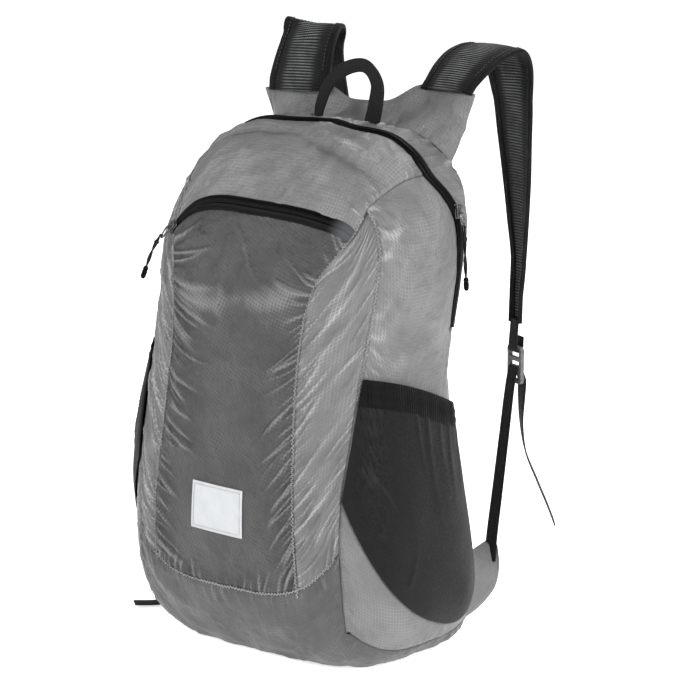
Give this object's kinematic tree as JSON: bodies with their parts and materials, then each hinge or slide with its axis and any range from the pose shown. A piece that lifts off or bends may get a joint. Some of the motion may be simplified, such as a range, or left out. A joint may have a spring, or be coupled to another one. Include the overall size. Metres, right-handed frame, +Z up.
{
  "type": "hiking backpack",
  "caption": "Packable hiking daypack with a zipped front pocket, stretch mesh side pockets, mesh shoulder straps on ladder locks and a webbing grab handle.",
  "frame": {"origin": "middle of the flat base that the bag stands on", "axes": "+X to the wearer's right, +Y towards the wearer's back, +Z up"},
  "size_m": [0.3421, 0.3627, 0.5515],
  "materials": {
    "shell_front": "shiny ripstop nylon, mid grey",
    "shell_upper": "shiny ripstop nylon, light grey",
    "shell_side": "shiny ripstop nylon, light grey",
    "shell_base": "coated ripstop nylon, mid grey",
    "stretch_mesh": "black stretch mesh",
    "strap_mesh": "black ribbed air mesh",
    "webbing": "woven nylon tape",
    "zip": "coated zip tape",
    "label": "woven satin label, blank",
    "metal": "gunmetal",
    "plastic": "moulded acetal, grey"
  },
  "bodies": {
    "root": {"front_panel": "shell_upper", "front_pocket_panel": "shell_front", "base_panel": "shell_base", "back_panel": "shell_side", "top_gusset": "shell_side", "shoulder_yoke": "shell_side", "main_zip": "zip", "pocket_zip": "zip", "label_patch": "label", "grab_handle": "webbing", "front_gore_left": "shell_side", "side_panel_left": "shell_side", "mesh_pocket_left": "stretch_mesh", "pocket_hem_left": "stretch_mesh", "shoulder_strap_left": "strap_mesh", "strap_binding_outer_left": "webbing", "strap_binding_inner_left": "webbing", "strap_tab_left": "webbing", "ladder_lock_left": "plastic", "lower_webbing_left": "webbing", "strap_wing_left": "shell_side", "front_gore_right": "shell_side", "side_panel_right": "shell_side", "mesh_pocket_right": "stretch_mesh", "pocket_hem_right": "stretch_mesh", "shoulder_strap_right": "strap_mesh", "strap_binding_outer_right": "webbing", "strap_binding_inner_right": "webbing", "strap_tab_right": "webbing", "ladder_lock_right": "plastic", "lower_webbing_right": "webbing", "strap_wing_right": "shell_side", "main_zip_slider": "metal", "main_zip_pull": "metal", "main_zip_cord": "webbing", "main_zip_cord_end": "zip", "pocket_zip_slider": "metal", "pocket_zip_pull": "metal", "pocket_zip_cord": "webbing", "pocket_zip_cord_end": "zip"}
  },
  "joints": []
}
